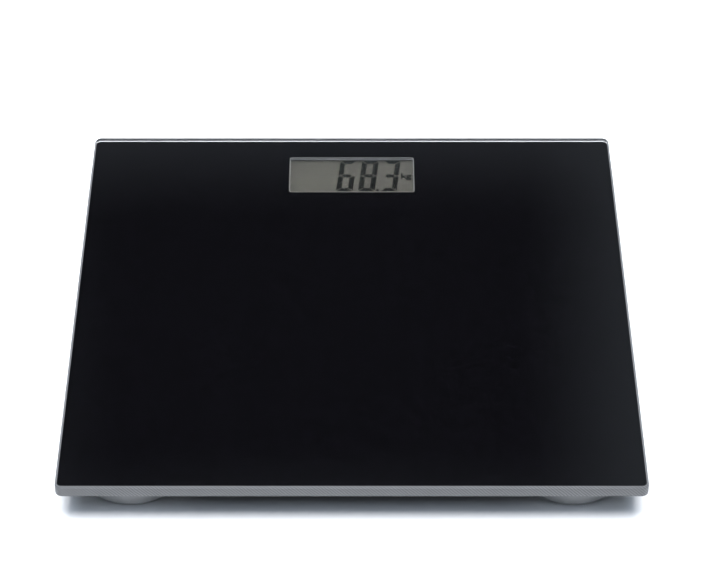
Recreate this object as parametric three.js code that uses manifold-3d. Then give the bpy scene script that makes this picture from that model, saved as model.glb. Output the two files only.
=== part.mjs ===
// Digital bathroom scale: a toughened glass platform on four weighing feet, with an
// electronics case bonded under the display window at its back.
// Millimetres, +Z up. The origin is on the floor under the middle of the glass,
// -Y is the side that the user stands at and +Y the display side.
import * as THREE from "three";
import { mergeVertices } from "three/addons/utils/BufferGeometryUtils.js";
import Module from "manifold-3d";

const wasm = await Module();
wasm.setup();

// ---------------------------------------------------------------- driving dimensions

// Platform
const WIDTH = 285;
const DEPTH = 280;
const HEIGHT = 22; // floor to the top of the glass
const GLASS_THICKNESS = 6;
const CORNER_RADIUS = 3.5;
const TOP_ARRIS = 1; // ground edge round the top
const BOTTOM_ARRIS = 0.3;
const PRINT_THICKNESS = 0.2; // opaque black backing on the underside of the glass
const PRINT_INSET = 0.6; // clear margin between the backing and the glass edge
const TAPE_THICKNESS = 0.8; // foam tape that bonds the feet and the case

// Display window, a gap in the black backing
const WINDOW_WIDTH = 68.4;
const WINDOW_DEPTH = 31.5;
const WINDOW_RADIUS = 1.6;
const WINDOW_FROM_BACK = 14.8;

// Feet
const FOOT_FROM_SIDE = 34.5; // foot centre to the side of the glass
const FOOT_FROM_END = 35.8; // foot centre to the front or back of the glass
const FOOT_RADIUS = 26.2; // moving cap
const FOOT_FLANGE = 1; // how far the fixed housing overhangs the cap
const FLANGE_THICKNESS = 2.6;
const CAP_WALL = 1.6;
const CAP_FLOOR = 2.2;
const CAP_EDGE = 0.8; // chamfer round the bottom of the cap
const CAP_RIB_HEIGHT = 3;
const CAP_RIB_THICKNESS = 1.4;
const CAP_RIBS = 6;
const BOSS_RADIUS = 5;
const PAD_MARGIN = 6.2; // from the rubber pad to the cap's outside
const PAD_THICKNESS = 1.6;
const PAD_PROUD = 0.6; // how far the rubber stands below the cap
const REVEAL = 1; // gap between the cap's rim and the housing's flange
const RING_WALL = 1.2;
const RING_GAP = 0.9; // between the cap's wall and the housing's ring
const SNAP_DEPTH = 0.5; // how far the housing's snap bead stands out
const SNAP_BELOW_RIM = 2.2;
const FOOT_DROP = 0.5; // play when the scale is lifted
const RING_ABOVE_FLOOR = 1.2; // from the cap's floor to the housing's ring

// Load cells
const LOAD_CELL_GAP = 1.24; // between the cell's corners and the housing's ring
const LOAD_CELL_RADIUS = 4;
const LOAD_CELL_THICKNESS = 2.5;
const TONGUE_WIDTH = 12;
const TONGUE_REACH = 8; // from the middle of the cell to the tongue's tip and to its root
const SLOT = 2;
const SEAT_WIDTH = 2; // rim of the housing that the cell's frame bears on
const POCKET_SKIN = 0.8;
const LANDING = 0.3; // step that the cell's frame seats on
const LIP_REACH = 2.2; // lip that keeps the cell in its housing
const LIP_HEIGHT = 0.6;
const GAUGE = { length: 8, width: 8, height: 0.9, fromSeat: 2.5 }; // strain gauge on the tongue's root

// Sensor leads: three cores side by side
const LEAD_WIDTH = 3.3;
const LEAD_THICKNESS = 1.1;
const LEAD_BEND = 6;
const LEAD_STEP = 6;
const COVER_WALL = 0.5;
const COVER_FLANGE = 2.2;
const FRONT_LEAD_TURN = 12; // where a front lead turns in towards the case, from its flange
const FRONT_LEAD_FROM_FRONT = 20; // from the front of the case to a front lead's entry
const BACK_LEAD_FROM_BACK = 28;
const LEAD_DROP = 4; // from the case's wall to where a lead turns down to the board
const LEAD_ON_BOARD = 3;

// Electronics case
const CASE_SIDE_GAP = 7.4; // between the board and the case's side wall
const CASE_DEPTH = 82;
const CASE_FROM_BACK = 8;
const CASE_RADIUS = 6;
const CASE_WALL = 1.6;
const CASE_FLOOR = 1.6;
const CASE_EDGE = 0.8; // chamfer round the bottom
const FRAME_THICKNESS = 1.4;
const FRAME_FLANGE = 4;
const TAPE_WIDTH = 4.5;
const SCREW_INSET = 5.2; // screw centre to the outside of the case
const SCREW = { shank: 1.1, head: 2.6, headHeight: 1.5, length: 6.5, slot: 0.7 };
const TOWER_RADIUS = 3.2;
const TOWER_HEIGHT = 4;
const SCREW_SEAT = 1.9; // depth of the recess for a screw's head
const POST_RADIUS = 1.8;
const POST_INSET = 2; // post centre to the side of the board

// Display and circuit board
const LCD_MARGIN = 3; // display glass beyond the front and back of the window
const LCD_SIDE_MARGIN = 4;
const LCD_LEDGE = 3; // contact ledge at the front of the display's upper glass
const LCD_DROP = 0.6; // air between the black backing and the display
const POLARISER = 0.2;
const LCD_GLASS = 1.1;
const POLARISER_SHORT = 1.6; // how far the polariser stops short of the window's back edge
const CARRIER_HEIGHT = 1.6;
const CARRIER_WALL = 4;
const CONNECTOR_WIDTH = 2;
const BOARD_THICKNESS = 1.2;
const BOARD_MARGIN = 4.8; // board beyond the display's sides
const BOARD_GAP = 4; // between the board and the front of the case's inside
const CHIP = { radius: 5, height: 1.3, fromCentre: 10, fromFront: 50 };

// Battery
const CELL_RADIUS = 10;
const CELL_THICKNESS = 3.2;
const CONTACT_GAP = 0.6; // over the cell, for the negative contact
const DOOR_GAP = 0.4; // under the cell
const BAY_SIDE_GAP = 0.9; // between the door's rails and the board's posts
const BAY_MARGIN = 3; // bay beyond the cell's sides
const CELL_FROM_FRONT = 4.5; // cell's edge to the front of the case
const CELL_TO_BAY_END = 3.7;
const RAIL = { thickness: 1.2, reach: 1.3, height: 0.8 };
const DOOR_LIP_HEIGHT = 5.2;
const GRIP = { ridges: 5, pitch: 1.8, width: 0.8, depth: 0.4, span: 14, fromFront: 5 };
const HOLDER_WALL = 2;

// Unit button
const BUTTON_RADIUS = 3.2;
const BUTTON_FLANGE = 1;
const BUTTON_RECESS = 0.2;
const BUTTON_FROM_CENTRE = 24;
const BUTTON_FROM_FRONT = 14;
const BUTTON_TRAVEL = 0.4;
const SWITCH_SIZE = 6;
const SWITCH_HEIGHT = 2;
const PLUNGER_RADIUS = 1.6;

const CLEARANCE = 0.3; // between pieces that are side by side
const ROUND_LARGE = 24; // facets of a foot
const ROUND_SMALL = 16;
const PAST = 1; // how far a cutting tool runs past what it cuts
const WELD = 1e-3;

// ---------------------------------------------------------------- levels and places

const glassBottom = HEIGHT - GLASS_THICKNESS;
const printBottom = glassBottom - PRINT_THICKNESS;
const bondBottom = printBottom - TAPE_THICKNESS; // what is taped to the glass hangs here
const leadLevel = bondBottom - 0.1 - LEAD_THICKNESS / 2;

const backEdge = DEPTH / 2;
const windowY = backEdge - WINDOW_FROM_BACK - WINDOW_DEPTH / 2;

const flangeBottom = bondBottom - FLANGE_THICKNESS;
const cellTop = flangeBottom - LANDING;
const cellBottom = cellTop - LOAD_CELL_THICKNESS;

const frameBottom = bondBottom - FRAME_THICKNESS;
const lcdTop = printBottom - LCD_DROP;
const upperGlassTop = lcdTop - POLARISER;
const lowerGlassTop = upperGlassTop - LCD_GLASS;
const lowerGlassBottom = lowerGlassTop - LCD_GLASS;
const lcdBottom = lowerGlassBottom - POLARISER;
const boardTop = lcdBottom - CARRIER_HEIGHT;
const boardBottom = boardTop - BOARD_THICKNESS;
const batteryTop = boardBottom - CONTACT_GAP;
const batteryBottom = batteryTop - CELL_THICKNESS;
const caseInside = batteryBottom - DOOR_GAP;
const caseBottom = caseInside - CASE_FLOOR;

const lcdWidth = WINDOW_WIDTH + 2 * LCD_SIDE_MARGIN;
const lcdDepth = WINDOW_DEPTH + 2 * LCD_MARGIN;
const lcdFront = windowY - lcdDepth / 2;
const lcdBack = lcdFront + lcdDepth;
const boardWidth = lcdWidth + 2 * BOARD_MARGIN;
const caseWidth = boardWidth + 2 * (CASE_SIDE_GAP + CASE_WALL);

const caseBack = backEdge - CASE_FROM_BACK;
const caseFront = caseBack - CASE_DEPTH;
const caseY = (caseBack + caseFront) / 2;
const bayHalf = CELL_RADIUS + BAY_MARGIN;
const postX = boardWidth / 2 - POST_INSET;
const bayX = bayHalf + RAIL.reach + BAY_SIDE_GAP + POST_RADIUS - postX;
const batteryY = caseFront + CELL_FROM_FRONT + CELL_RADIUS;
const bayEnd = batteryY + CELL_RADIUS + CELL_TO_BAY_END;
const holderFront = caseFront + CASE_WALL + CLEARANCE;

const FEET = [
  { name: "front_left", x: -1, y: -1 },
  { name: "front_right", x: 1, y: -1 },
  { name: "back_left", x: -1, y: 1 },
  { name: "back_right", x: 1, y: 1 },
].map(({ name, x, y }) => ({
  name,
  side: x,
  front: y < 0,
  centre: new THREE.Vector2(x * (WIDTH / 2 - FOOT_FROM_SIDE), y * (DEPTH / 2 - FOOT_FROM_END)),
}));

// ---------------------------------------------------------------- materials

const material = (color, roughness, metalness = 0) =>
  new THREE.MeshStandardMaterial({ color, roughness, metalness });
const clear = (color, opacity) =>
  new THREE.MeshStandardMaterial({ color, roughness: 0.05, transparent: true, opacity });

const MATERIALS = {
  glass: clear(0xdfe8e6, 0.35),
  print: material(0x07080a, 0.3),
  tape: material(0x1b1c1e, 0.9),
  plastic: material(0xb4b8bb, 0.45),
  darkPlastic: material(0x2a2c2e, 0.6),
  rubber: material(0x3a3c3e, 0.85),
  steel: material(0xa9abad, 0.35, 1),
  brass: material(0xc9a45c, 0.35, 1),
  silicone: material(0xe9e8e2, 0.6),
  wire: material(0x8d8f92, 0.55),
  board: material(0x1f5a3c, 0.5),
  epoxy: material(0x111214, 0.4),
  lcdGlass: clear(0xd9dcd4, 0.35),
  reflector: material(0x8f9189, 0.6),
};

// ---------------------------------------------------------------- solids

// A closed three.js geometry as a manifold-3d solid.
function solid(geometry) {
  const bare = geometry.clone();
  bare.deleteAttribute("normal");
  bare.deleteAttribute("uv");
  const merged = mergeVertices(bare, WELD);
  return new wasm.Manifold(
    new wasm.Mesh({
      numProp: 3,
      vertProperties: merged.attributes.position.array,
      triVerts: new Uint32Array(merged.index.array),
    }),
  );
}

function mesh(name, body, look) {
  const made = body.getMesh();
  const geometry = new THREE.BufferGeometry();
  geometry.setAttribute("position", new THREE.BufferAttribute(made.vertProperties.slice(), 3));
  geometry.setIndex(new THREE.BufferAttribute(made.triVerts.slice(), 1));
  geometry.computeVertexNormals();
  const piece = new THREE.Mesh(geometry, look);
  piece.name = name;
  return piece;
}

function block(x0, x1, y0, y1, z0, z1) {
  const geometry = new THREE.BoxGeometry(x1 - x0, y1 - y0, z1 - z0);
  return solid(geometry.translate((x0 + x1) / 2, (y0 + y1) / 2, (z0 + z1) / 2));
}

function rod(radius, bottom, top, x = 0, y = 0, facets = ROUND_SMALL) {
  const geometry = new THREE.CylinderGeometry(radius, radius, top - bottom, facets);
  return solid(geometry.rotateX(Math.PI / 2).translate(x, y, (bottom + top) / 2));
}

// A profile of [radius, height] pairs, from the axis up the outside, turned round Z.
function turned(profile, facets = ROUND_LARGE) {
  const points = profile.map(([radius, height]) => new THREE.Vector2(radius, height));
  return solid(new THREE.LatheGeometry(points, facets).rotateX(Math.PI / 2));
}

function roundedRectangle(width, depth, radius, x = 0, y = 0) {
  const shape = new THREE.Shape();
  const corners = [[1, -1], [1, 1], [-1, 1], [-1, -1]];
  corners.forEach(([i, j], n) => {
    const start = ((n - 1) * Math.PI) / 2;
    const cx = x + i * (width / 2 - radius);
    const cy = y + j * (depth / 2 - radius);
    shape.absarc(cx, cy, radius, start, start + Math.PI / 2);
  });
  return shape;
}

function slab(shape, bottom, top, curveSegments = 3) {
  const settings = { depth: top - bottom, bevelEnabled: false, curveSegments };
  return solid(new THREE.ExtrudeGeometry(shape, settings).translate(0, 0, bottom));
}

// A slab with a chamfer round its top and bottom.
function chamferedSlab(shape, bottom, top, chamfer, curveSegments = 3) {
  const settings = {
    depth: top - bottom - 2 * chamfer,
    bevelThickness: chamfer,
    bevelSize: chamfer,
    bevelOffset: -chamfer,
    bevelSegments: 1,
    curveSegments,
  };
  return solid(new THREE.ExtrudeGeometry(shape, settings).translate(0, 0, bottom + chamfer));
}

const joined = (bodies) => bodies.reduce((whole, body) => whole.add(body));
const cut = (body, tools) => tools.reduce((left, tool) => left.subtract(tool), body);

// ---------------------------------------------------------------- platform

function glassPlatform() {
  const outline = roundedRectangle(WIDTH, DEPTH, CORNER_RADIUS);
  const underTop = chamferedSlab(outline, 0, HEIGHT, TOP_ARRIS);
  const overBottom = chamferedSlab(outline, glassBottom, 2 * HEIGHT, BOTTOM_ARRIS);
  return underTop.intersect(overBottom);
}

function backPrint() {
  const width = WIDTH - 2 * PRINT_INSET;
  const depth = DEPTH - 2 * PRINT_INSET;
  const sheet = roundedRectangle(width, depth, CORNER_RADIUS - PRINT_INSET);
  const gap = roundedRectangle(WINDOW_WIDTH, WINDOW_DEPTH, WINDOW_RADIUS, 0, windowY);
  sheet.holes.push(gap);
  return slab(sheet, printBottom, glassBottom);
}

// ---------------------------------------------------------------- feet

const capInner = FOOT_RADIUS - CAP_WALL;
const capTop = flangeBottom - REVEAL;
const capFloorTop = PAD_PROUD + CAP_FLOOR;
const capBeadBottom = capTop - SNAP_BELOW_RIM;
const ringOuter = capInner - RING_GAP;
const ringInner = ringOuter - RING_WALL;
const ringBottom = capFloorTop + RING_ABOVE_FLOOR;
const padRadius = FOOT_RADIUS - PAD_MARGIN;
const loadCellHalf = (ringInner - LOAD_CELL_GAP - LOAD_CELL_RADIUS) / Math.SQRT2 + LOAD_CELL_RADIUS;
const pocketRadius = loadCellHalf - SEAT_WIDTH;
const gaugeEnd = pocketRadius - GAUGE.fromSeat;
const slotHalf = LEAD_WIDTH / 2 + 2 * CLEARANCE;

// Fixed upper half of a foot: a flange taped to the glass and a ring that holds the load cell.
function footHousing() {
  const beadTop = capBeadBottom - FOOT_DROP - CLEARANCE;
  const bead = ringOuter + SNAP_DEPTH;
  const flange = FOOT_RADIUS + FOOT_FLANGE;
  const lipTop = cellBottom - CLEARANCE;
  const lip = ringInner - LIP_REACH;
  const body = turned([
    [0, bondBottom - POCKET_SKIN],
    [pocketRadius, bondBottom - POCKET_SKIN],
    [pocketRadius, cellTop],
    [ringInner, cellTop],
    [ringInner, lipTop],
    [lip, lipTop],
    [lip, lipTop - LIP_HEIGHT],
    [ringInner, lipTop - LIP_HEIGHT - 0.4],
    [ringInner, ringBottom],
    [ringOuter, ringBottom],
    [bead, ringBottom + 0.4],
    [bead, beadTop],
    [ringOuter, beadTop],
    [ringOuter, flangeBottom],
    [flange, flangeBottom],
    [flange, bondBottom - 0.4],
    [flange - 0.4, bondBottom],
    [0, bondBottom],
  ]);
  const top = bondBottom + PAST;
  const leadSlot = block(TONGUE_REACH, flange + PAST, -slotHalf, slotHalf, cellTop - 0.01, top);
  return body.subtract(leadSlot);
}

// Moving lower half: a dish whose middle boss bears on the load cell's tongue.
function footCap() {
  const bead = ringOuter + 0.35;
  const bossTop = cellBottom;
  const dish = turned([
    [0, PAD_THICKNESS],
    [padRadius + 0.2, PAD_THICKNESS],
    [padRadius + 0.2, PAD_PROUD],
    [FOOT_RADIUS - CAP_EDGE, PAD_PROUD],
    [FOOT_RADIUS, PAD_PROUD + CAP_EDGE],
    [FOOT_RADIUS, capTop - 0.4],
    [FOOT_RADIUS - 0.4, capTop],
    [capInner, capTop],
    [capInner, capBeadBottom + 1.2],
    [bead, capBeadBottom + 0.8],
    [bead, capBeadBottom],
    [capInner, capBeadBottom],
    [capInner, capFloorTop],
    [BOSS_RADIUS, capFloorTop],
    [BOSS_RADIUS, bossTop - 0.4],
    [BOSS_RADIUS - 0.5, bossTop],
    [0, bossTop],
  ]);
  const ribEnd = ringInner - LIP_REACH / 2;
  const half = CAP_RIB_THICKNESS / 2;
  const rib = block(BOSS_RADIUS - 1, ribEnd, -half, half, capFloorTop - 0.5, capFloorTop + CAP_RIB_HEIGHT);
  const ribs = Array.from({ length: CAP_RIBS }, (_, n) => rib.rotate([0, 0, (n * 360) / CAP_RIBS]));
  return joined([dish, ...ribs]);
}

function footPad() {
  return turned([
    [0, 0],
    [padRadius - 0.5, 0],
    [padRadius, 0.4],
    [padRadius, PAD_THICKNESS],
    [0, PAD_THICKNESS],
  ]);
}

function footTape() {
  return rod(FOOT_RADIUS + FOOT_FLANGE - 0.5, bondBottom, printBottom, 0, 0, ROUND_LARGE);
}

// Square steel plate with a tongue cut free on three sides; the root is on +X.
function loadCell() {
  const plate = roundedRectangle(2 * loadCellHalf, 2 * loadCellHalf, LOAD_CELL_RADIUS);
  const [inner, outer] = [TONGUE_WIDTH / 2, TONGUE_WIDTH / 2 + SLOT];
  const [tip, root] = [-TONGUE_REACH, TONGUE_REACH];
  const slot = [
    [root, inner],
    [root, outer],
    [tip - SLOT, outer],
    [tip - SLOT, -outer],
    [root, -outer],
    [root, -inner],
    [tip, -inner],
    [tip, inner],
  ];
  plate.holes.push(new THREE.Path(slot.map(([x, y]) => new THREE.Vector2(x, y))));
  return slab(plate, cellBottom, cellTop, 2);
}

function strainGauge() {
  const { length, width, height } = GAUGE;
  const patch = roundedRectangle(length, width, 1.5, gaugeEnd - length / 2, 0);
  return slab(patch, cellTop, cellTop + height, 1);
}

// ---------------------------------------------------------------- sensor leads

// Straight runs through the points, with each corner rounded.
function route(points, bend = LEAD_BEND) {
  const path = new THREE.CurvePath();
  let from = points[0];
  points.slice(1, -1).forEach((corner, n) => {
    const next = points[n + 2];
    const reach = Math.min(bend, corner.distanceTo(from) / 2, corner.distanceTo(next) / 2);
    const enter = corner.clone().lerp(from, reach / corner.distanceTo(from));
    const leave = corner.clone().lerp(next, reach / corner.distanceTo(next));
    path.add(new THREE.LineCurve3(from, enter));
    path.add(new THREE.QuadraticBezierCurve3(enter, corner, leave));
    from = leave;
  });
  path.add(new THREE.LineCurve3(from, points.at(-1)));
  return path;
}

const leadEntryY = (foot) =>
  foot.front ? caseFront + FRONT_LEAD_FROM_FRONT : caseBack - BACK_LEAD_FROM_BACK;

// Where a lead meets the case's flange, or turns towards it.
function leadTurn(foot) {
  const out = caseWidth / 2 + FRAME_FLANGE + (foot.front ? FRONT_LEAD_TURN : 0);
  return new THREE.Vector2(foot.side * out, leadEntryY(foot));
}

const leadDirection = (foot) => leadTurn(foot).sub(foot.centre).normalize();

function sensorLead(foot) {
  const towards = leadDirection(foot);
  const at = (distance, z) => {
    const place = foot.centre.clone().addScaledVector(towards, distance);
    return new THREE.Vector3(place.x, place.y, z);
  };
  const gaugeLevel = cellTop + CLEARANCE + LEAD_THICKNESS / 2;
  const turn = leadTurn(foot);
  const y = leadEntryY(foot);
  const inside = caseWidth / 2 - CASE_WALL;
  const boardEdge = boardWidth / 2;
  const boardLevel = boardTop + CLEARANCE + LEAD_THICKNESS / 2;
  const points = [
    at(gaugeEnd + CLEARANCE, gaugeLevel),
    at(gaugeEnd + 3, gaugeLevel),
    at(ringInner, leadLevel),
    new THREE.Vector3(turn.x, turn.y, leadLevel),
    new THREE.Vector3(foot.side * (inside - LEAD_DROP), y, leadLevel),
    new THREE.Vector3(foot.side * boardEdge, y, boardLevel),
    new THREE.Vector3(foot.side * (boardEdge - LEAD_ON_BOARD), y, boardLevel),
  ];
  const path = route(points);
  const [t, w] = [LEAD_THICKNESS / 2, LEAD_WIDTH / 2];
  const section = new THREE.Shape(
    [[-t, -w + t], [0, -w], [t, -w + t], [t, w - t], [0, w], [-t, w - t]].map(
      ([x, y]) => new THREE.Vector2(x, y),
    ),
  );
  const steps = Math.round(path.getLength() / LEAD_STEP);
  return solid(new THREE.ExtrudeGeometry(section, { steps, extrudePath: path }));
}

// Channel of thin plastic stuck over the straight run of a lead.
function leadCover(foot) {
  const start = FOOT_RADIUS + FOOT_FLANGE + CLEARANCE;
  const end = leadTurn(foot).distanceTo(foot.centre) - CLEARANCE - (foot.front ? LEAD_BEND : 0);
  const inner = slotHalf;
  const outer = inner + COVER_WALL;
  const brim = outer + COVER_FLANGE;
  const ceiling = leadLevel - LEAD_THICKNESS / 2 - CLEARANCE;
  const hat = joined([
    block(start, end, -outer, outer, ceiling - COVER_WALL, printBottom),
    block(start, end, -brim, brim, printBottom - COVER_WALL, printBottom),
  ]);
  return hat.subtract(block(start - PAST, end + PAST, -inner, inner, ceiling, printBottom + PAST));
}

function foot(spec) {
  const group = new THREE.Group();
  group.position.set(spec.centre.x, spec.centre.y, 0);
  group.rotation.z = leadDirection(spec).angle();
  const pieces = [
    ["foot_tape", footTape(), MATERIALS.tape],
    ["foot_housing", footHousing(), MATERIALS.plastic],
    ["load_cell", loadCell(), MATERIALS.steel],
    ["strain_gauge", strainGauge(), MATERIALS.silicone],
    ["foot_cap", footCap(), MATERIALS.plastic],
    ["foot_pad", footPad(), MATERIALS.rubber],
    ["lead_cover", leadCover(spec), MATERIALS.darkPlastic],
  ];
  pieces.forEach(([name, body, look]) => group.add(mesh(`${name}_${spec.name}`, body, look)));
  return group;
}

// ---------------------------------------------------------------- electronics case

const screwPlaces = [[-1, -1], [1, -1], [-1, 1], [1, 1]].map(([i, j]) => [
  i * (caseWidth / 2 - SCREW_INSET),
  caseY + j * (CASE_DEPTH / 2 - SCREW_INSET),
]);
const towerTop = caseBottom + TOWER_HEIGHT;
const boardFront = caseFront + CASE_WALL + BOARD_GAP;
const boardBack = lcdBack + 0.8;
const doorHalf = bayHalf - CLEARANCE;
const railInner = doorHalf - RAIL.thickness;
const railOuter = doorHalf + RAIL.reach;

const caseOutline = (grow) =>
  roundedRectangle(caseWidth + 2 * grow, CASE_DEPTH + 2 * grow, CASE_RADIUS + grow, 0, caseY);

// The outside of the case, deep enough to cut the door from as well.
const caseEnvelope = () =>
  chamferedSlab(caseOutline(0), caseBottom, bondBottom + CASE_DEPTH, CASE_EDGE);

// A block that is centred on the battery bay.
const bayBlock = (half, y0, y1, z0, z1) => block(bayX - half, bayX + half, y0, y1, z0, z1);

function caseShell() {
  const above = block(-caseWidth, caseWidth, caseFront - PAST, caseBack + PAST, frameBottom, 200);
  const cavity = slab(caseOutline(-CASE_WALL), caseInside, frameBottom + PAST);
  const tray = cut(caseEnvelope(), [above, cavity]);
  const towers = screwPlaces.map(([x, y]) => rod(TOWER_RADIUS, caseBottom + 1, towerTop, x, y));
  const posts = [-1, 1].flatMap((i) =>
    [boardFront + 2.5, boardBack - 2.5].map((y) =>
      rod(POST_RADIUS, caseInside - 1, boardBottom, i * postX, y),
    ),
  );
  const wallCut = bayHalf + RAIL.reach;
  const lipTop = caseBottom + DOOR_LIP_HEIGHT + CLEARANCE;
  const tools = [
    bayBlock(bayHalf, caseFront - PAST, bayEnd, caseBottom - PAST, caseInside + PAST),
    bayBlock(wallCut, caseFront - PAST, caseFront + CASE_WALL, caseInside, lipTop),
    rod(BUTTON_RADIUS + CLEARANCE, caseBottom - PAST, caseInside + PAST, buttonX, buttonY),
    ...screwPlaces.flatMap(([x, y]) => [
      rod(SCREW.shank + 0.4, caseBottom - PAST, towerTop + PAST, x, y),
      rod(SCREW.head + 0.3, caseBottom - PAST, caseBottom + SCREW_SEAT, x, y),
    ]),
  ];
  return cut(joined([tray, ...towers, ...posts]), tools);
}

function caseFrame() {
  const plate = slab(caseOutline(FRAME_FLANGE), frameBottom, bondBottom);
  const bosses = screwPlaces.map(([x, y]) =>
    rod(TOWER_RADIUS - 0.2, towerTop + CLEARANCE, frameBottom + 0.5, x, y),
  );
  const opening = block(
    -lcdWidth / 2 - CLEARANCE,
    lcdWidth / 2 + CLEARANCE,
    lcdFront - LCD_LEDGE - CLEARANCE,
    lcdBack + CLEARANCE,
    frameBottom - PAST,
    bondBottom + PAST,
  );
  const channels = FEET.map((spec) => {
    const ends = [boardWidth / 2 - 0.5, caseWidth].map((x) => x * spec.side);
    const y = leadEntryY(spec);
    const [x0, x1] = [Math.min(...ends), Math.max(...ends)];
    return block(x0, x1, y - slotHalf, y + slotHalf, frameBottom - PAST, bondBottom + PAST);
  });
  const pilots = screwPlaces.map(([x, y]) =>
    rod(SCREW.shank + 0.2, towerTop - PAST, bondBottom - POCKET_SKIN, x, y),
  );
  return cut(joined([plate, ...bosses]), [opening, ...channels, ...pilots]);
}

function caseTape() {
  const ring = caseOutline(FRAME_FLANGE - 0.5);
  ring.holes.push(caseOutline(FRAME_FLANGE - 0.5 - TAPE_WIDTH));
  return slab(ring, bondBottom, printBottom);
}

function caseScrew([x, y]) {
  const seat = caseBottom + SCREW_SEAT;
  const { shank, head, headHeight, length, slot } = SCREW;
  const body = rod(head, seat - headHeight, seat, x, y).add(rod(shank, seat - 0.5, seat + length, x, y));
  const [long, wide] = [head * 0.65, 0.35];
  const [z0, z1] = [seat - headHeight - PAST, seat - headHeight + slot];
  const cross = [
    block(x - long, x + long, y - wide, y + wide, z0, z1),
    block(x - wide, x + wide, y - long, y + long, z0, z1),
  ];
  return cut(body, cross);
}

// ---------------------------------------------------------------- battery

// Door that slides out of the front of the case: its rails ride on the case's floor.
function batteryDoor() {
  const [front, end] = [caseFront, bayEnd - CLEARANCE];
  const railBottom = caseInside + CLEARANCE;
  const railTop = railBottom + RAIL.height;
  const rails = [-1, 1].flatMap((i) => {
    const span = (a, b) => [bayX + i * a, bayX + i * b].sort((p, q) => p - q);
    const [stemIn, stemOut] = span(railInner, doorHalf);
    const [railIn, railOut] = span(railInner, railOuter);
    return [
      block(stemIn, stemOut, front + CASE_WALL / 2, end - 2, caseInside - 0.5, railTop),
      block(railIn, railOut, front + CASE_WALL / 2, end - 2, railBottom, railTop),
    ];
  });
  const plate = joined([
    bayBlock(doorHalf, front, end, caseBottom, caseInside),
    bayBlock(doorHalf, front, front + CASE_WALL, caseBottom, railBottom + 0.1),
    bayBlock(railOuter, front, front + CASE_WALL, railBottom, caseBottom + DOOR_LIP_HEIGHT),
  ]).intersect(caseEnvelope());
  const grooves = Array.from({ length: GRIP.ridges }, (_, n) => {
    const y = front + GRIP.fromFront + n * GRIP.pitch;
    return bayBlock(GRIP.span / 2, y, y + GRIP.width, caseBottom - PAST, caseBottom + GRIP.depth);
  });
  return cut(joined([plate, ...rails]), grooves);
}

function coinCell() {
  const rim = 0.4;
  const body = turned(
    [
      [0, batteryBottom],
      [CELL_RADIUS - rim, batteryBottom],
      [CELL_RADIUS, batteryBottom + rim],
      [CELL_RADIUS, batteryTop - 0.5],
      [CELL_RADIUS - 1.2, batteryTop - 0.4],
      [CELL_RADIUS - 1.4, batteryTop],
      [0, batteryTop],
    ],
    ROUND_LARGE,
  );
  return body.translate([bayX, batteryY, 0]);
}

const clipHalf = 2.5;

// Square ring under the board that keeps the coin cell in place.
function cellHolder() {
  const half = CELL_RADIUS + HOLDER_WALL;
  const bottom = caseInside + 2 * CLEARANCE + RAIL.height;
  const body = bayBlock(half, holderFront, batteryY + half, bottom, boardBottom);
  const clipOut = bayX + CELL_RADIUS + 1.2;
  const gapHalf = clipHalf + CLEARANCE;
  const [z0, z1] = [bottom - PAST, boardBottom + PAST];
  return cut(body, [
    rod(CELL_RADIUS + CLEARANCE, z0, z1, bayX, batteryY, ROUND_LARGE),
    block(bayX, clipOut, batteryY - gapHalf, batteryY + gapHalf, z0, z1),
  ]);
}

// A strip of sheet metal: its outline in X and Z, drawn out along Y.
function strip(outline, width, x, y) {
  const shape = new THREE.Shape(outline.map(([i, z]) => new THREE.Vector2(i, z)));
  const geometry = new THREE.ExtrudeGeometry(shape, { depth: width, bevelEnabled: false });
  return solid(geometry.rotateX(Math.PI / 2).translate(x, y + width / 2, 0));
}

function positiveClip() {
  const inner = CELL_RADIUS + 0.25;
  const sheet = 0.3;
  const outline = [
    [inner, batteryBottom + 0.6],
    [inner + sheet, batteryBottom + 0.6],
    [inner + sheet, boardBottom - sheet],
    [inner + 2 * sheet, boardBottom - sheet],
    [inner + 2 * sheet, boardBottom],
    [inner, boardBottom],
  ];
  return strip(outline, 2 * clipHalf, bayX, batteryY);
}

function negativeSpring() {
  const sheet = 0.2;
  const low = batteryTop + 0.1;
  const outline = [
    [-6, boardBottom - sheet],
    [-4, boardBottom - sheet],
    [-1, low],
    [2, low],
    [4, low + sheet],
    [2, low + sheet],
    [-1, low + sheet],
    [-4, boardBottom],
    [-6, boardBottom],
  ];
  return strip(outline, 4, bayX, batteryY);
}

// ---------------------------------------------------------------- board, button and display

const buttonX = BUTTON_FROM_CENTRE;
const buttonY = caseFront + BUTTON_FROM_FRONT;
const switchBottom = boardBottom - SWITCH_HEIGHT;

function circuitBoard() {
  const depth = boardBack - boardFront;
  const outline = roundedRectangle(boardWidth, depth, 1.5, 0, (boardFront + boardBack) / 2);
  return slab(outline, boardBottom, boardTop, 1);
}

function controllerChip() {
  const { radius, height, fromCentre, fromFront } = CHIP;
  const dome = turned(
    [
      [0, boardBottom - height],
      [radius * 0.45, boardBottom - height * 0.9],
      [radius * 0.85, boardBottom - height * 0.5],
      [radius, boardBottom],
      [0, boardBottom],
    ],
    ROUND_SMALL,
  );
  return dome.translate([fromCentre, caseFront + fromFront, 0]);
}

function unitSwitch() {
  const half = SWITCH_SIZE / 2;
  const [x0, x1] = [buttonX - half, buttonX + half];
  const body = block(x0, x1, buttonY - half, buttonY + half, switchBottom, boardBottom);
  const bore = rod(PLUNGER_RADIUS + CLEARANCE, switchBottom - PAST, boardBottom - 0.5, buttonX, buttonY);
  return body.subtract(bore);
}

const buttonFlangeBottom = caseInside + CLEARANCE;
const plungerBottom = switchBottom - 0.5;

function switchPlunger() {
  const top = boardBottom - 0.5 - BUTTON_TRAVEL - CLEARANCE;
  return rod(PLUNGER_RADIUS, plungerBottom, top, buttonX, buttonY);
}

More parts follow.
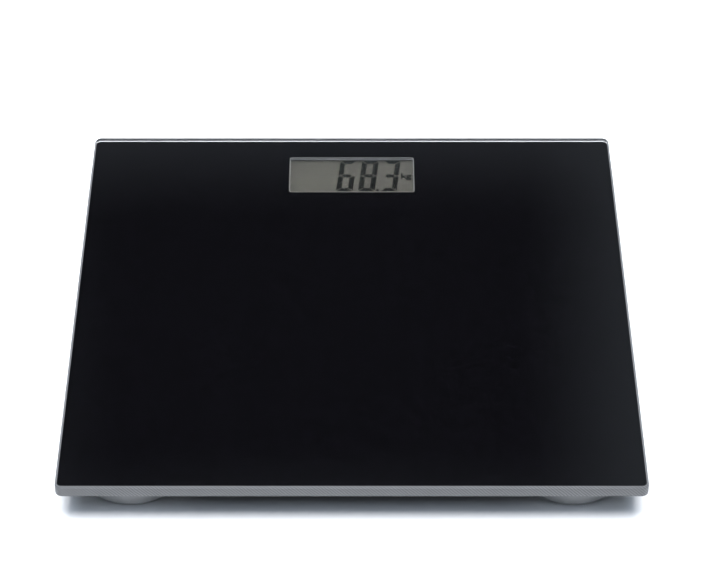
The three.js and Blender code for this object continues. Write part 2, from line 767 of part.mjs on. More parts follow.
function unitButton() {
  const bottom = caseBottom + BUTTON_RECESS;
  const flangeTop = buttonFlangeBottom + 0.6;
  const cap = turned(
    [
      [0, bottom],
      [BUTTON_RADIUS - 0.4, bottom],
      [BUTTON_RADIUS, bottom + 0.4],
      [BUTTON_RADIUS, buttonFlangeBottom],
      [BUTTON_RADIUS + BUTTON_FLANGE, buttonFlangeBottom],
      [BUTTON_RADIUS + BUTTON_FLANGE, flangeTop],
      [PLUNGER_RADIUS, flangeTop],
      [PLUNGER_RADIUS, plungerBottom],
      [0, plungerBottom],
    ],
    ROUND_SMALL,
  );
  return cap.translate([buttonX, buttonY, 0]);
}

// One sheet of the display, from front to back.
function displaySheet(front, back, side, bottom, top) {
  return block(-lcdWidth / 2 + side, lcdWidth / 2 - side, front, back, bottom, top);
}

const polariserBack = windowY + WINDOW_DEPTH / 2 - POLARISER_SHORT;

const upperPolariser = () => displaySheet(lcdFront + 1, polariserBack, 1, upperGlassTop, lcdTop);
const upperGlass = () => displaySheet(lcdFront - LCD_LEDGE, lcdBack, 0, lowerGlassTop, upperGlassTop);
const lowerGlass = () => displaySheet(lcdFront, lcdBack, 0, lowerGlassBottom, lowerGlassTop);
const reflector = () => displaySheet(lcdFront + 1, lcdBack - 1, 1, lcdBottom, lowerGlassBottom);

function displayCarrier() {
  const outside = displaySheet(lcdFront, lcdBack, 0, boardTop, lcdBottom);
  const inside = displaySheet(
    lcdFront + CARRIER_WALL,
    lcdBack - CARRIER_WALL,
    CARRIER_WALL,
    boardTop - PAST,
    lcdBottom + PAST,
  );
  return outside.subtract(inside);
}

function displayConnector() {
  const y = lcdFront - LCD_LEDGE / 2 - 0.1;
  const half = CONNECTOR_WIDTH / 2;
  return displaySheet(y - half, y + half, 4, boardTop, lowerGlassTop);
}

// ---------------------------------------------------------------- assembly

const scale = new THREE.Group();

const pieces = [
  ["glass_platform", glassPlatform(), MATERIALS.glass],
  ["back_print", backPrint(), MATERIALS.print],
  ["case_tape", caseTape(), MATERIALS.tape],
  ["case_frame", caseFrame(), MATERIALS.plastic],
  ["case_shell", caseShell(), MATERIALS.plastic],
  ["battery_door", batteryDoor(), MATERIALS.plastic],
  ["coin_cell", coinCell(), MATERIALS.steel],
  ["cell_holder", cellHolder(), MATERIALS.darkPlastic],
  ["battery_positive_clip", positiveClip(), MATERIALS.brass],
  ["battery_negative_spring", negativeSpring(), MATERIALS.brass],
  ["circuit_board", circuitBoard(), MATERIALS.board],
  ["controller_chip", controllerChip(), MATERIALS.epoxy],
  ["unit_switch", unitSwitch(), MATERIALS.darkPlastic],
  ["switch_plunger", switchPlunger(), MATERIALS.darkPlastic],
  ["unit_button", unitButton(), MATERIALS.plastic],
  ["display_carrier", displayCarrier(), MATERIALS.darkPlastic],
  ["display_connector", displayConnector(), MATERIALS.wire],
  ["display_polariser", upperPolariser(), MATERIALS.lcdGlass],
  ["display_upper_glass", upperGlass(), MATERIALS.lcdGlass],
  ["display_lower_glass", lowerGlass(), MATERIALS.lcdGlass],
  ["display_reflector", reflector(), MATERIALS.reflector],
];
pieces.forEach(([name, body, look]) => scale.add(mesh(name, body, look)));

screwPlaces.forEach((place, n) => {
  scale.add(mesh(`case_screw_${n + 1}`, caseScrew(place), MATERIALS.steel));
});

FEET.forEach((spec) => {
  scale.add(foot(spec));
  scale.add(mesh(`sensor_lead_${spec.name}`, sensorLead(spec), MATERIALS.wire));
});

export default scale;
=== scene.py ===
"""Looks for the digital bathroom scale: studio, glass platform, display, feet and electronics case.

Shapes are written in millimetres in the row frame (+Z up, -Y the user's side) and made in metres.
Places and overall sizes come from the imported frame; the values below are only the finer details.
"""

import math

import bmesh
import bpy
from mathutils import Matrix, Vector


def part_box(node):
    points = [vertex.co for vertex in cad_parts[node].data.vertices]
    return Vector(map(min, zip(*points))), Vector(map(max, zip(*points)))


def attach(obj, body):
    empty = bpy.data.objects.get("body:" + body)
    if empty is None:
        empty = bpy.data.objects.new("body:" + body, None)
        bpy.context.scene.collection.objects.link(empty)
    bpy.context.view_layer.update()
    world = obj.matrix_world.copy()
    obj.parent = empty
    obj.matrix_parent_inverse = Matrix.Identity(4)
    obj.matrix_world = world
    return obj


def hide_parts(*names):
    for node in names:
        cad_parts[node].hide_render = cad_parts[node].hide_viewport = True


MM = 0.001
FEET = ("front_left", "front_right", "back_left", "back_right")

# Camera and light
CAMERA_PLACE = (0.0, -1.0948, 0.9424)
CAMERA_PITCH = 39.8545  # degrees below the horizon
CAMERA_LENS = 138.365
CAMERA_SHIFT_X = 0.0114
SOFTBOX = {"size": 1.2, "place": (0, -0.02, 1.15), "power": 38.0, "color": (1, 1, 1)}
# Wide weak light round the softbox
SKIRT = {"size": 1.9, "place": (0, -0.2, 1.16), "power": 19.5, "color": (0.86, 0.98, 1.16)}
SKY = 0.36  # studio behind the scale
FRONT_SKY = 0.14  # studio on the camera's side
FLAG = 0.34  # how much the black flag takes from the studio
# Where the flag's right, left, lower and upper side fade out, as parts of a direction
FLAG_EDGES = (("X", (0.058, 0.122)), ("X", (-0.08, -0.17)), ("Z", (0.622, 0.575)), ("Z", (0.68, 0.73)))
FLOOR_RADIUS = 9.0
BACKDROP = (1.02, 1.02, 1.02)
SWEEP_START = 0.45  # from the object, where the floor begins to turn into the backdrop
SWEEP_END = 1.1

# Glass platform
TOP_ARRIS = 1.0
BOTTOM_ARRIS = 0.3
CORNER_RADIUS = 3.5
PRINT_BITE = 0.05  # the ink lies this deep in the glass, so no air is left between them
PRINT_RADIUS = 2.9
WINDOW_RADIUS = 1.6

# Display
DIGIT_HEIGHT = 27.2
DIGIT_WIDTH = 9.1
DIGIT_PITCH = 12.0
DIGIT_SLANT = math.radians(5.5)
SEGMENT_WIDTH = 2.8
SEGMENT_GAP = 0.3
DIGITS_FROM_RIGHT = 18.9  # left edge of the last digit to the window's right edge
DIGITS_FROM_FRONT = 3.57
INK_THICKNESS = 0.05
RIM_WIDTH = 0.6
RIM_THICKNESS = 0.08
RIM_UNDER_INK = 0.6  # how far the adhesive reaches under the ink
LCD_SIDE_MARGIN = 4.0  # display glass beyond the window
LCD_MARGIN = 3.0
UNIT_WIDTH = 5.75
UNIT_ASCENT = 4.6
UNIT_FROM_RIGHT = 7.2
UNIT_FROM_FRONT = 14.9  # baseline

# Feet
CAP_WALL = 1.6
CAP_FLOOR = 2.2
CAP_EDGE = 0.8
RIBS = 6
RIB_HEIGHT = 3.0
RIB_THICKNESS = 1.4
BOSS_RADIUS = 5.0
PAD_RECESS_GAP = 0.2
PAD_GROOVES = (6.0, 11.5, 16.0)  # radii of the grooves in the rubber
RING_GAP = 0.9
RING_WALL = 1.2
FLANGE_THICKNESS = 2.6
SNAP_BELOW_RIM = 2.2
FOOT_DROP = 0.5
LIP_REACH = 2.2
POCKET_SKIN = 0.8
LOAD_CELL_GAP = 1.24
LOAD_CELL_RADIUS = 4.0
SEAT_WIDTH = 2.0
LEAD_SLOT_START = 8.0

# Sensor leads
LEAD_WIDTH = 3.3
LEAD_THICKNESS = 1.1
CORE_RADIUS = 0.56
CORE_SIDES = 14
LEAD_BEND = 6.0
GAUGE_LENGTH = 8.0
FRONT_LEAD_TURN = 12.0
FRONT_LEAD_FROM_FRONT = 20.0
BACK_LEAD_FROM_BACK = 28.0
LEAD_DROP = 4.0
LEAD_ON_BOARD = 3.0

# Case
CASE_WALL = 1.6
CASE_RADIUS = 6.0
CASE_EDGE = 0.9
FRAME_FLANGE = 4.0
FRAME_THICKNESS = 1.4
TAPE_WIDTH = 4.5
SCREW_HEAD_RADIUS = 2.6
SCREW_HEAD_HEIGHT = 1.5
SCREW_SHANK = 1.1
SCREW_SEAT = 1.9
THREAD_PITCH = 0.8
TOWER_RADIUS = 3.2
TOWER_HEIGHT = 4.0
POST_RADIUS = 1.8
POST_INSET = 2.0
POST_FROM_END = 2.5
BUTTON_FLANGE = 1.0
RAIL_REACH = 1.3
DOOR_LIP_HEIGHT = 5.2

CLEARANCE = 0.3
PAST = 1.0  # how far a cutter runs past what it cuts
CORNER_STEPS = 12
ROUND = 128


# ---------------------------------------------------------------- frame

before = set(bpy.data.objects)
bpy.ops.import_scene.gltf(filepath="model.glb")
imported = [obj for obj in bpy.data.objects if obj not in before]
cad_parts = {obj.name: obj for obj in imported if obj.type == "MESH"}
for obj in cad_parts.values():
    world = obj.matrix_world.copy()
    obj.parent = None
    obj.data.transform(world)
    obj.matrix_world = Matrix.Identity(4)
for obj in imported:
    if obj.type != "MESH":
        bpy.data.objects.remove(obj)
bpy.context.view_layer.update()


def box(node):
    """Lowest and highest corner of a CAD node, in millimetres."""
    low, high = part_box(node)
    return Vector(low) / MM, Vector(high) / MM


def centre(node):
    low, high = box(node)
    return (low + high) / 2


# ---------------------------------------------------------------- meshes


def rounded_rectangle(width, depth, radius, x=0.0, y=0.0, steps=CORNER_STEPS):
    points = []
    for i, (sx, sy) in enumerate(((1, -1), (1, 1), (-1, 1), (-1, -1))):
        cx = x + sx * (width / 2 - radius)
        cy = y + sy * (depth / 2 - radius)
        for k in range(steps + 1):
            angle = (i - 1 + k / steps) * math.pi / 2
            points.append((cx + radius * math.cos(angle), cy + radius * math.sin(angle)))
    return points


def circle(radius, x=0.0, y=0.0, steps=ROUND):
    turns = (2 * math.pi * k / steps for k in range(steps))
    return [(x + radius * math.cos(t), y + radius * math.sin(t)) for t in turns]


def new_object(name, mesh):
    made = bpy.data.objects.new(name, mesh)
    bpy.context.scene.collection.objects.link(made)
    return made


def loft(name, rings, closed=False, angle=35):
    """A body through rings of (x, y, z) points, capped at both ends, or joined end to start if closed."""
    work = bmesh.new()
    rows = [[work.verts.new(Vector(p) * MM) for p in ring] for ring in rings]
    pairs = list(zip(rows, rows[1:])) + ([(rows[-1], rows[0])] if closed else [])
    for low, high in pairs:
        for k in range(len(low)):
            n = (k + 1) % len(low)
            work.faces.new((low[k], low[n], high[n], high[k]))
    if not closed:
        work.faces.new(list(reversed(rows[0])))
        work.faces.new(rows[-1])
    bmesh.ops.recalc_face_normals(work, faces=work.faces)
    mesh = bpy.data.meshes.new(name)
    work.to_mesh(mesh)
    work.free()
    mesh.shade_smooth()
    mesh.set_sharp_from_angle(angle=math.radians(angle))
    return new_object(name, mesh)


def lift(outline, z):
    return [(x, y, z) for x, y in outline]


def turned(name, profile, x=0.0, y=0.0, steps=ROUND, angle=30):
    """A body of revolution from (radius, height) pairs. Its first and last points lie on the axis."""
    inner = profile[1:-1] if profile[0][0] == 0 else profile
    rings = [lift(circle(max(r, 0.001), x, y, steps), z) for r, z in inner]
    return loft(name, rings, closed=profile[0][0] != 0, angle=angle)


def soften(profile, radius, steps=3):
    """Rounds each corner of a (radius, height) profile by up to that radius."""
    out = [profile[0]]
    for a, b, c in zip(profile, profile[1:], profile[2:]):
        before, corner, after = Vector(a), Vector(b), Vector(c)
        reach = min(radius, (before - corner).length / 2.2, (after - corner).length / 2.2)
        start = corner.lerp(before, reach / (before - corner).length)
        end = corner.lerp(after, reach / (after - corner).length)
        for k in range(steps + 1):
            t = k / steps
            point = start.lerp(corner, t).lerp(corner.lerp(end, t), t)
            out.append((point.x, point.y))
    out.append(profile[-1])
    return out


def block(name, x0, x1, y0, y1, z0, z1):
    outline = [(x0, y0), (x1, y0), (x1, y1), (x0, y1)]
    return loft(name, [lift(outline, z0), lift(outline, z1)])


def rounded_slab(name, outline_of, z0, z1, edge, hole_of=None, steps=3):
    """A slab whose edges are rounded. outline_of(inset) gives its outline that far in from its side."""
    arcs = [(edge * (1 - math.sin(t)), edge * (1 - math.cos(t)))
            for t in (math.pi / 2 * k / steps for k in range(steps + 1))]
    bottom = [(inset, z0 + rise) for inset, rise in arcs]
    levels = bottom + [(inset, z0 + z1 - z) for inset, z in reversed(bottom)]
    rings = [lift(outline_of(inset), z) for inset, z in levels]
    if hole_of:
        rings += [lift(hole_of(inset), z) for inset, z in reversed(levels)]
    return loft(name, rings, closed=bool(hole_of))


def carve(body, tools, operation="DIFFERENCE"):
    """Joins or cuts by other bodies, which are used up."""
    for tool in tools:
        step = body.modifiers.new("carve", "BOOLEAN")
        step.operation = operation
        step.solver = "EXACT"
        step.object = tool
    bpy.context.view_layer.update()
    graph = bpy.context.evaluated_depsgraph_get()
    mesh = bpy.data.meshes.new_from_object(body.evaluated_get(graph))
    body.modifiers.clear()
    body.data = mesh
    for tool in tools:
        bpy.data.objects.remove(tool)
    mesh.shade_smooth()
    mesh.set_sharp_from_angle(angle=math.radians(35))
    return body


def bevel(body, width, segments=2, angle=40):
    """Rounds the sharp edges of a mesh, drawn parts and CAD nodes alike."""
    step = body.modifiers.new("soft_edges", "BEVEL")
    step.width = width * MM
    step.segments = segments
    step.limit_method = "ANGLE"
    step.angle_limit = math.radians(angle)
    return body


def level_shading(piece):
    """Shades large faces flat, so that only the narrow rounded edges turn the light."""
    step = piece.modifiers.new("level_shading", "WEIGHTED_NORMAL")
    step.weight = 100
    step.keep_sharp = True


def finished(piece, body, slot, nodes, *materials):
    """Gives a piece its materials and its body, and hides the CAD nodes that it stands for."""
    level_shading(piece)
    piece.data.materials.clear()
    for made in materials:
        piece.data.materials.append(made)
    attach(piece, body)
    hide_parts(*nodes)
    return piece


# ---------------------------------------------------------------- materials


class Look:
    """A material under construction: a Principled shader and the nodes that feed it."""

    def __init__(self, name, color=(0.5, 0.5, 0.5), roughness=0.5, metallic=0.0, **fixed):
        self.material = bpy.data.materials.new(name)
        self.material.use_nodes = True
        self.tree = self.material.node_tree
        self.shader = self.tree.nodes["Principled BSDF"]
        self.output = self.tree.nodes["Material Output"]
        self.color = color
        self.roughness = roughness
        self.set("Base Color", (*color, 1))
        self.set("Roughness", roughness)
        self.set("Metallic", metallic)
        for key, value in fixed.items():
            self.set(key.replace("_", " ").title().replace("Ior", "IOR"), value)
        self.place = self.add("ShaderNodeTexCoord").outputs["Object"]

    def set(self, name, value):
        self.shader.inputs[name].default_value = value

    def add(self, kind, **values):
        node = self.tree.nodes.new(kind)
        for key, value in values.items():
            if isinstance(value, bpy.types.NodeSocket):
                self.link(value, node.inputs[key.replace("_", " ")])
            elif hasattr(node, key):
                setattr(node, key, value)
            else:
                node.inputs[key.replace("_", " ")].default_value = value
        return node

    def link(self, source, target):
        self.tree.links.new(source, target)

    def stretched(self, scale, turn=0.0):
        node = self.add("ShaderNodeMapping", Vector=self.place, Scale=scale)
        node.inputs["Rotation"].default_value = (0, 0, turn)
        return node.outputs["Vector"]

    def noise(self, size, detail=3.0, place=None, rough=0.55):
        """Noise whose features are about that many millimetres across."""
        scale = 1 / (size * MM) if place is None else 1.0
        node = self.add("ShaderNodeTexNoise", Vector=place or self.place, Scale=scale, Detail=detail)
        node.inputs["Roughness"].default_value = rough
        return node.outputs["Fac"]

    def ramp(self, value, low, high, start=0.3, end=0.7):
        """Maps a pattern to a number between two values."""
        node = self.add("ShaderNodeMapRange", Value=value)
        for name, number in zip(("From Min", "From Max", "To Min", "To Max"), (start, end, low, high)):
            node.inputs[name].default_value = number
        return node.outputs["Result"]

    def tint(self, value, dark, light, start=0.3, end=0.7):
        """Runs a pattern between two colours into the base colour."""
        node = self.add("ShaderNodeMix", data_type="RGBA")
        self.link(self.ramp(value, 0, 1, start, end), node.inputs[0])
        node.inputs[6].default_value = (*dark, 1)
        node.inputs[7].default_value = (*light, 1)
        self.link(node.outputs[2], self.shader.inputs["Base Color"])
        return node.outputs[2]

    def vary(self, value, share):
        """Base colour from a little darker to a little lighter, by a pattern."""
        dark = tuple(c * (1 - share) for c in self.color)
        light = tuple(c * (1 + share) for c in self.color)
        return self.tint(value, dark, light)

    def rough(self, value, low, high, start=0.3, end=0.7):
        self.link(self.ramp(value, low, high, start, end), self.shader.inputs["Roughness"])

    def bump(self, value, height, strength=1.0):
        """Relief from a pattern, height in millimetres."""
        node = self.add("ShaderNodeBump", Height=value, Distance=height * MM, Strength=strength)
        self.link(node.outputs["Normal"], self.shader.inputs["Normal"])

    def clear_to_lamps(self):
        """Lets lamp light straight through, so that what lies behind the glass is lit."""
        path = self.add("ShaderNodeLightPath")
        open_air = self.add("ShaderNodeBsdfTransparent")
        mix = self.add("ShaderNodeMixShader")
        self.link(path.outputs["Is Shadow Ray"], mix.inputs[0])
        self.link(self.shader.outputs[0], mix.inputs[1])
        self.link(open_air.outputs[0], mix.inputs[2])
        self.link(mix.outputs[0], self.output.inputs["Surface"])


def polished_glass():
    look = Look("polished_glass", (1, 1, 1), 0.0, transmission_weight=1.0, ior=1.52)
    look.rough(look.noise(35, 4), 0.0, 0.012, 0.5, 0.8)
    look.clear_to_lamps()
    return look.material


def ground_glass():
    look = Look("ground_glass", (0.155, 0.159, 0.166), 0.5, transmission_weight=0.55, ior=1.52)
    marks = look.noise(1, 4, look.stretched((250, 250, 1300), 0), 0.6)
    streaks = look.add("ShaderNodeTexWave", Vector=look.stretched((1, 1, 1)), Scale=350.0)
    streaks.bands_direction = "DIAGONAL"
    streaks.inputs["Distortion"].default_value = 2.0
    streaks.inputs["Detail"].default_value = 3.0
    look.vary(streaks.outputs["Fac"], 0.3)
    look.rough(marks, 0.42, 0.62)
    look.bump(streaks.outputs["Fac"], 0.07, 0.6)
    return look.material


def black_print():
    look = Look("black_print", (0.0013, 0.0012, 0.0017), 0.35, specular_ior_level=0.0)
    look.vary(look.noise(6, 3), 0.2)
    look.rough(look.noise(0.8, 2), 0.3, 0.42)
    look.bump(look.noise(0.5, 2), 0.004)
    return look.material


def foam():
    look = Look("foam_tape", (0.02, 0.02, 0.022), 0.9)
    cells = look.add("ShaderNodeTexVoronoi", Vector=look.place, Scale=4000.0).outputs["Distance"]
    look.tint(cells, (0.008, 0.008, 0.009), (0.035, 0.035, 0.037), 0.1, 0.7)
    look.bump(cells, 0.08)
    return look.material


def moulded(name, color, roughness=0.45):
    """Injection-moulded plastic: spark-eroded grain, faint flow marks, worn gloss."""
    look = Look(name, color, roughness, specular_ior_level=0.5)
    look.vary(look.noise(9, 4), 0.07)
    look.rough(look.noise(3, 3), roughness - 0.06, roughness + 0.08)
    look.bump(look.noise(0.22, 3, rough=0.65), 0.012)
    return look.material


def rubber():
    look = Look("pad_rubber", (0.035, 0.036, 0.038), 0.8)
    look.vary(look.noise(1.2, 5), 0.35)
    look.rough(look.noise(2.5, 3), 0.68, 0.88)
    look.bump(look.noise(0.35, 4, rough=0.7), 0.03)
    return look.material


def plated_steel():
    look = Look("plated_steel", (0.56, 0.57, 0.58), 0.32, 1.0)
    look.vary(look.noise(1, 4, look.stretched((250, 2200, 250))), 0.1)
    look.rough(look.noise(1, 3, look.stretched((180, 3000, 180))), 0.22, 0.42)
    look.bump(look.noise(0.4, 3), 0.004)
    return look.material


def sheet_brass():
    look = Look("contact_brass", (0.72, 0.57, 0.29), 0.28, 1.0)
    look.vary(look.noise(1, 4, look.stretched((400, 2500, 400))), 0.12)
    look.rough(look.noise(1.5, 3), 0.2, 0.4)
    return look.material


def silicone():
    look = Look("gauge_coat", (0.72, 0.71, 0.67), 0.4, subsurface_weight=0.15)
    look.vary(look.noise(1.6, 3), 0.06)
    look.bump(look.noise(1.8, 2), 0.15)
    return look.material


def sleeve(name, color):
    look = Look(name, color, 0.42)
    look.vary(look.noise(4, 3), 0.08)
    look.bump(look.noise(1.2, 2), 0.02)
    return look.material


def solder_mask():
    """Green mask over woven glass, with copper tracks under it."""
    look = Look("solder_mask", (0.02, 0.14, 0.07), 0.3, coat_weight=0.4, coat_roughness=0.1)
    weave = look.add("ShaderNodeTexChecker", Vector=look.place, Scale=2200.0)
    tracks = look.add("ShaderNodeTexBrick", Vector=look.stretched((260, 260, 260)), Scale=1.0)
    tracks.inputs["Mortar Size"].default_value = 0.06
    tracks.inputs["Brick Width"].default_value = 1.9
    tracks.inputs["Row Height"].default_value = 0.42
    look.tint(tracks.outputs["Fac"], (0.012, 0.1, 0.05), (0.05, 0.24, 0.12), 0, 1)
    look.bump(weave.outputs["Fac"], 0.01, 0.4)
    look.rough(look.noise(5, 3), 0.22, 0.38)
    return look.material


def epoxy():
    look = Look("chip_epoxy", (0.012, 0.012, 0.014), 0.25, coat_weight=0.3)
    look.vary(look.noise(2.5, 3), 0.3)
    look.bump(look.noise(3, 2), 0.08)
    return look.material


def contact_stripes():
    """Silicone strip with a conducting layer every half millimetre."""
    look = Look("connector_rubber", (0.3, 0.3, 0.31), 0.6)
    bands = look.add("ShaderNodeTexWave", Vector=look.place, Scale=320.0)
    bands.bands_direction = "X"
    look.tint(bands.outputs["Fac"], (0.03, 0.03, 0.03), (0.55, 0.55, 0.54), 0.4, 0.6)
    look.bump(bands.outputs["Fac"], 0.03)
    return look.material


def display_glass():
    look = Look("display_glass", (0.015, 0.016, 0.015), 0.04, alpha=0.03)
    look.rough(look.noise(18, 3), 0.02, 0.07)
    return look.material


def display_film():
    look = Look("display_film", (0.006, 0.0062, 0.006), 0.3, alpha=0.12, specular_ior_level=0.0)
    look.vary(look.noise(16, 2), 0.05)
    look.rough(look.noise(1.0, 2), 0.26, 0.36)
    return look.material


def display_layer():
    """Satin silver-grey that the liquid crystal shows against."""
    look = Look("display_layer", (0.061, 0.0597, 0.0515), 0.5, specular_ior_level=0.0)
    look.vary(look.noise(16, 2), 0.03)
    look.bump(look.noise(0.3, 2), 0.004)
    return look.material


def reflector():
    look = Look("display_reflector", (0.35, 0.354, 0.325), 0.4)
    look.vary(look.noise(14, 3), 0.05)
    look.bump(look.noise(0.3, 2), 0.01)
    return look.material


def display_ink():
    look = Look("display_ink", (0.0022, 0.0023, 0.0015), 0.5, specular_ior_level=0.0)
    look.vary(look.noise(2.2, 3), 0.2)
    return look.material


def floor_paint():
    """Pale floor that turns into the backdrop further out, as a paper sweep does."""
    look = Look("studio_floor", (0.86, 0.86, 0.865), 0.7, specular_ior_level=0.2)
    look.vary(look.noise(900, 2), 0.01)
    distance = look.add("ShaderNodeVectorMath", operation="LENGTH")
    look.link(look.place, distance.inputs[0])
    far = look.ramp(distance.outputs["Value"], 0, 1, SWEEP_START, SWEEP_END)
    seen = look.add("ShaderNodeLightPath").outputs["Is Camera Ray"]
    share = look.add("ShaderNodeMath", operation="MULTIPLY")
    look.link(far, share.inputs[0])
    look.link(seen, share.inputs[1])
    paper = look.add("ShaderNodeEmission")
    paper.inputs["Color"].default_value = (*BACKDROP, 1)
    mix = look.add("ShaderNodeMixShader")
    look.link(share.outputs[0], mix.inputs[0])
    look.link(look.shader.outputs[0], mix.inputs[1])
    look.link(paper.outputs[0], mix.inputs[2])
    look.link(mix.outputs[0], look.output.inputs["Surface"])
    return look.material


POLISHED = polished_glass()
GROUND = ground_glass()
INK = black_print()
FOAM = foam()
GREY = moulded("grey_plastic", (0.225, 0.23, 0.235))
DARK = moulded("dark_plastic", (0.022, 0.023, 0.025), 0.5)
RUBBER = rubber()
STEEL = plated_steel()
BRASS = sheet_brass()
SILICONE = silicone()
CORES = [sleeve("red_core", (0.4, 0.02, 0.015)), sleeve("white_core", (0.7, 0.7, 0.68)),
         sleeve("black_core", (0.015, 0.015, 0.017))]
MASK = solder_mask()
EPOXY = epoxy()
STRIPES = contact_stripes()
SHEET_GLASS = display_glass()
FILM = display_film()
RIM = moulded("window_adhesive", (0.043, 0.044, 0.044), 0.5)
# painted shade: grey in the colour of the print edge's shadow on the display, for the strip behind the film
PAINTED_SHADE = moulded("painted_shade_strip", (0.03, 0.031, 0.034), 0.5)
LAYER = display_layer()
REFLECTOR = reflector()
LCD_INK = display_ink()
FLOOR = floor_paint()


# ---------------------------------------------------------------- studio


def camera():
    data = bpy.data.cameras.new("camera")
    data.lens = CAMERA_LENS
    data.shift_x = CAMERA_SHIFT_X
    data.clip_end = 50
    made = bpy.data.objects.new("camera", data)
    made.location = CAMERA_PLACE
    made.rotation_euler = (math.radians(90 - CAMERA_PITCH), 0, 0)
    bpy.context.scene.collection.objects.link(made)
    bpy.context.scene.camera = made


def softbox(name, size, place, power, color):
    data = bpy.data.lights.new(name, "AREA")
    data.shape = "SQUARE"
    data.size = size
    data.energy = power
    data.color = color
    made = bpy.data.objects.new(name, data)
    made.location = place
    made.visible_camera = False
    bpy.context.scene.collection.objects.link(made)


def surroundings():
    """Dim cool studio with a dark flag where the camera would see the sky in the glass."""
    world = bpy.data.worlds.new("studio")
    world.use_nodes = True
    bpy.context.scene.world = world
    tree = world.node_tree
    add, link = tree.nodes.new, tree.links.new
    split = add("ShaderNodeSeparateXYZ")
    link(add("ShaderNodeTexCoord").outputs["Generated"], split.inputs[0])

    def math_node(kind, a, b=0.0):
        node = add("ShaderNodeMath")
        node.operation = kind
        for socket, value in zip(node.inputs, (a, b)):
            if isinstance(value, (int, float)):
                socket.default_value = value
            else:
                link(value, socket)
        return node.outputs[0]

    def step(value, start, end):
        node = add("ShaderNodeMapRange")
        node.interpolation_type = "SMOOTHSTEP"
        link(value, node.inputs["Value"])
        node.inputs["From Min"].default_value = start
        node.inputs["From Max"].default_value = end
        return node.outputs["Result"]

    away = math_node("LESS_THAN", split.outputs["Y"], 0.0)
    parts = [step(split.outputs[axis], *edge) for axis, edge in FLAG_EDGES] + [away]
    dark = 1.0
    for part in parts:
        dark = math_node("MULTIPLY", math_node("SUBTRACT", 1.0, part), dark)
    behind = step(split.outputs["Y"], -0.2, 0.2)
    sky = math_node("ADD", FRONT_SKY, math_node("MULTIPLY", behind, SKY - FRONT_SKY))
    level = math_node("SUBTRACT", sky, math_node("MULTIPLY", dark, FLAG))
    studio = tree.nodes["Background"]
    studio.inputs["Color"].default_value = (0.88, 1.0, 1.12, 1)
    link(level, studio.inputs["Strength"])
    backdrop = add("ShaderNodeBackground")
    backdrop.inputs["Color"].default_value = (*BACKDROP, 1)
    choose = add("ShaderNodeMixShader")
    link(add("ShaderNodeLightPath").outputs["Is Camera Ray"], choose.inputs[0])
    link(studio.outputs[0], choose.inputs[1])
    link(backdrop.outputs[0], choose.inputs[2])
    link(choose.outputs[0], tree.nodes["World Output"].inputs["Surface"])


def studio():
    camera()
    softbox("overhead", **SOFTBOX)
    softbox("skirt", **SKIRT)
    surroundings()
    rim = circle(FLOOR_RADIUS / MM, steps=96)
    floor = loft("studio_floor", [lift(rim, -4.0), lift(rim, -0.02)])
    floor.data.materials.append(FLOOR)
    scene = bpy.context.scene
    scene.view_settings.view_transform = "Standard"
    scene.view_settings.look = "None"
    scene.cycles.transparent_max_bounces = 24
    scene.cycles.transmission_bounces = 16
    scene.cycles.max_bounces = 16


# ---------------------------------------------------------------- platform


def platform():
    low, high = box("glass_platform")
    width, depth = high.x - low.x, high.y - low.y

    def ring(inset, z):
        radius = max(CORNER_RADIUS - inset, 0.2)
        return lift(rounded_rectangle(width - 2 * inset, depth - 2 * inset, radius), z)

    soft = 0.12  # rounding where the arris meets the faces
    rings = [
        ring(BOTTOM_ARRIS + soft, low.z),
        ring(BOTTOM_ARRIS, low.z + soft * 0.3),
        ring(0.0, low.z + BOTTOM_ARRIS),
        ring(0.0, high.z - TOP_ARRIS - soft),
        ring(soft * 0.3, high.z - TOP_ARRIS + soft * 0.3),
        ring(TOP_ARRIS - soft * 0.3, high.z - soft * 0.3),
        ring(TOP_ARRIS + soft, high.z),
    ]
    piece = loft("platform_glass", rings, angle=20)
    finished(piece, "root", "platform_glass", ["glass_platform"], POLISHED, GROUND)
    for face in piece.data.polygons:
        face.material_index = 0 if abs(face.normal.z) > 0.999 else 1
    return piece


def printed_backing():
    low, high = box("back_print")
    window_low, window_high = display_window()
    top = high.z + PRINT_BITE

    width, depth = high.x - low.x, high.y - low.y

    def sheet(inset):
        return rounded_rectangle(width - 2 * inset, depth - 2 * inset, PRINT_RADIUS)

    def gap(inset):
        size = window_high - window_low
        middle = (window_low + window_high) / 2
        across, along = size.x + 2 * inset, size.y + 2 * inset
        return rounded_rectangle(across, along, WINDOW_RADIUS, middle.x, middle.y)

    piece = rounded_slab("black_backing", sheet, low.z, top, 0.04, gap)
    return finished(piece, "root", "black_print", ["back_print"], INK)


def window_rim():
    """Narrow grey line of adhesive just inside the window."""
    low, high = display_window()
    level = box("back_print")[0].z

    def outline(grow):
        middle, size = (low + high) / 2, high - low
        width, depth = size.x + 2 * grow, size.y + 2 * grow
        return rounded_rectangle(width, depth, WINDOW_RADIUS + grow, middle.x, middle.y)

    piece = rounded_slab("window_rim", lambda inset: outline(RIM_UNDER_INK - inset), level - RIM_THICKNESS,
                         level - 0.01, 0.02, lambda inset: outline(inset - RIM_WIDTH))
    piece.data.materials.append(RIM)
    level_shading(piece)
    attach(piece, "root")


def display_window():
    """The gap in the backing, from the display glass and its margins."""
    margin = Vector((LCD_SIDE_MARGIN, LCD_MARGIN, 0.0))
    low, high = box("display_lower_glass")
    return low + margin, high - margin


# ---------------------------------------------------------------- display


